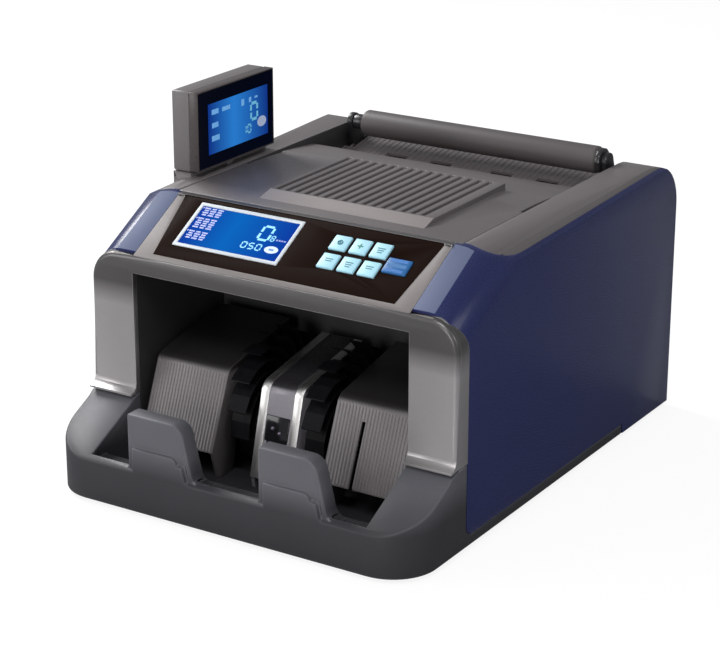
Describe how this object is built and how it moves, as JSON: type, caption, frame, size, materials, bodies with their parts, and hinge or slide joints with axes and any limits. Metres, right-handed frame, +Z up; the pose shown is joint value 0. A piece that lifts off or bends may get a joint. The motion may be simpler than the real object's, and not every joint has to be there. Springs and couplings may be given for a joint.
{
  "type": "banknote counting machine",
  "caption": "Desktop banknote counter with rear hopper, front stacker pocket, sloped key panel, hinged top cover and swivelling customer display.",
  "frame": {"origin": "middle of the machine on the table it stands on", "axes": "+X to the right seen from the front, +Y to the back, +Z up"},
  "size_m": [0.27, 0.349, 0.236],
  "materials": {
    "base_plastic": "fine spark-eroded dark grey moulding",
    "frame_silver": "silver grey satin paint on plastic",
    "panel_blue": "glossy navy side panels",
    "deck_grey": "fine grained warm grey plastic",
    "panel_black": "black printed panel",
    "trim_white": "white surround of the screen",
    "screen_blue": "back-lit blue screen behind clear plastic",
    "circuit_board": "green solder mask",
    "key_pale": "pale cyan moulded key",
    "key_blue": "blue moulded key",
    "liner_dark": "dark inner moulding",
    "chrome_trim": "bright strips beside the saddle",
    "window_black": "smoked sensor window",
    "plate_steel": "zinc-plated sheet steel",
    "shaft_steel": "ground steel bar",
    "bush_brass": "sintered bearing bronze",
    "roller_rubber": "brown friction rubber",
    "pulley_plastic": "white acetal",
    "wheel_black": "black flexible blades",
    "motor_steel": "plated motor can",
    "belt_rubber": "black belt",
    "socket_black": "black moulded fittings",
    "display_shell": "grey rear half of the customer display",
    "display_front": "dark front of the customer display with its lit window",
    "foot_rubber": "black rubber feet"
  },
  "bodies": {
    "body": {"base_tray": "base_plastic", "front_frame": "frame_silver", "side_panel_left": "panel_blue", "side_panel_right": "panel_blue", "top_shell": "deck_grey", "rear_panel": "deck_grey", "control_panel": "panel_black", "lcd_frame": "trim_white", "lcd_screen": "screen_blue", "keypad_board": "circuit_board", "pocket_liner": "liner_dark", "stacker_guide_left": "deck_grey", "stacker_guide_right": "deck_grey", "stacker_saddle": "deck_grey", "saddle_strips": "chrome_trim", "sensor_window": "window_black", "hopper_plate": "deck_grey", "note_chute": "liner_dark", "chassis_plate_left": "plate_steel", "chassis_plate_right": "plate_steel", "tie_rods": "shaft_steel", "shaft_bushes": "bush_brass", "retard_rollers": "roller_rubber", "drive_motor": "motor_steel", "stacker_motor": "motor_steel", "drive_belt": "belt_rubber", "pickup_belt": "belt_rubber", "stacker_belt": "belt_rubber", "main_board": "circuit_board", "power_supply": "plate_steel", "mains_inlet": "socket_black", "display_socket": "socket_black", "rubber_feet": "foot_rubber", "housing_screws": "plate_steel"},
    "cover": {"top_cover": "deck_grey", "cover_hinge_pin": "shaft_steel"},
    "note_rest_bar": {"note_rest": "deck_grey", "note_rest_arms": "socket_black"},
    "display": {"display_housing": "display_shell", "display_screen": "display_front"},
    "drive_rotor": {"motor_pulley": "pulley_plastic"},
    "feed": {"feed_shaft": "shaft_steel", "feed_rollers": "roller_rubber", "feed_pulleys": "pulley_plastic"},
    "pickup": {"pickup_shaft": "shaft_steel", "pickup_rollers": "roller_rubber", "pickup_pulley": "pulley_plastic"},
    "stacker_rotor": {"stacker_motor_pulley": "pulley_plastic"},
    "stacker": {"stacker_shaft": "shaft_steel", "stacker_wheel_left": "wheel_black", "stacker_wheel_right": "wheel_black", "stacker_pulley": "pulley_plastic"},
    "rocker": {"power_rocker": "socket_black"},
    "button_1": {"key_1": "key_pale"},
    "button_2": {"key_2": "key_pale"},
    "button_3": {"key_3": "key_pale"},
    "button_4": {"key_4": "key_pale"},
    "button_5": {"key_5": "key_pale"},
    "button_6": {"key_6": "key_pale"},
    "button_7": {"key_7": "key_blue"}
  },
  "joints": [
    {"name": "cover_hinge", "type": "hinge", "parent": "body", "child": "cover", "pos_m": [0, -0.05194, 0.1735], "axis": [1, 0, 0], "range_deg": [0, 75]},
    {"name": "note_rest_tilt", "type": "hinge", "parent": "body", "child": "note_rest_bar", "pos_m": [0, 0.1415, 0.163], "axis": [-1, 0, 0], "range_deg": [0, 30]},
    {"name": "display_swivel", "type": "hinge", "parent": "body", "child": "display", "pos_m": [-0.12, 0.0045, 0.182], "axis": [0, 0, 1], "range_deg": [-90, 90]},
    {"name": "key_1_press", "type": "slide", "parent": "body", "child": "button_1", "axis": [0, -0.4894, 0.8721], "range_m": [-0.001, 0], "stiffness_N_per_m": 300},
    {"name": "key_2_press", "type": "slide", "parent": "body", "child": "button_2", "axis": [0, -0.4894, 0.8721], "range_m": [-0.001, 0], "stiffness_N_per_m": 300},
    {"name": "key_3_press", "type": "slide", "parent": "body", "child": "button_3", "axis": [0, -0.4894, 0.8721], "range_m": [-0.001, 0], "stiffness_N_per_m": 300},
    {"name": "key_4_press", "type": "slide", "parent": "body", "child": "button_4", "axis": [0, -0.4894, 0.8721], "range_m": [-0.001, 0], "stiffness_N_per_m": 300},
    {"name": "key_5_press", "type": "slide", "parent": "body", "child": "button_5", "axis": [0, -0.4894, 0.8721], "range_m": [-0.001, 0], "stiffness_N_per_m": 300},
    {"name": "key_6_press", "type": "slide", "parent": "body", "child": "button_6", "axis": [0, -0.4894, 0.8721], "range_m": [-0.001, 0], "stiffness_N_per_m": 300},
    {"name": "key_7_press", "type": "slide", "parent": "body", "child": "button_7", "axis": [0, -0.4894, 0.8721], "range_m": [-0.001, 0], "stiffness_N_per_m": 300},
    {"name": "power_switch", "type": "hinge", "parent": "body", "child": "rocker", "pos_m": [-0.052, 0.163, 0.035], "axis": [1, 0, 0], "range_deg": [-18, 0]},
    {"name": "feed_spin", "type": "hinge", "parent": "body", "child": "feed", "pos_m": [0, 0.0775, 0.135], "axis": [1, 0, 0], "continuous": true},
    {"name": "motor_spin", "type": "hinge", "parent": "body", "child": "drive_rotor", "pos_m": [0.08, 0.1175, 0.063], "axis": [1, 0, 0], "continuous": true},
    {"name": "pickup_spin", "type": "hinge", "parent": "body", "child": "pickup", "pos_m": [0, 0.1135, 0.147], "axis": [1, 0, 0], "continuous": true},
    {"name": "stacker_spin", "type": "hinge", "parent": "body", "child": "stacker", "pos_m": [0, -0.0725, 0.057], "axis": [1, 0, 0], "continuous": true},
    {"name": "stacker_motor_spin", "type": "hinge", "parent": "body", "child": "stacker_rotor", "pos_m": [-0.09, -0.0025, 0.043], "axis": [1, 0, 0], "continuous": true}
  ],
  "couplings": [
    {"joint": "motor_spin", "follows": "feed_spin", "ratio": 2},
    {"joint": "pickup_spin", "follows": "feed_spin", "ratio": 1.2},
    {"joint": "stacker_motor_spin", "follows": "stacker_spin", "ratio": 2.25}
  ]
}
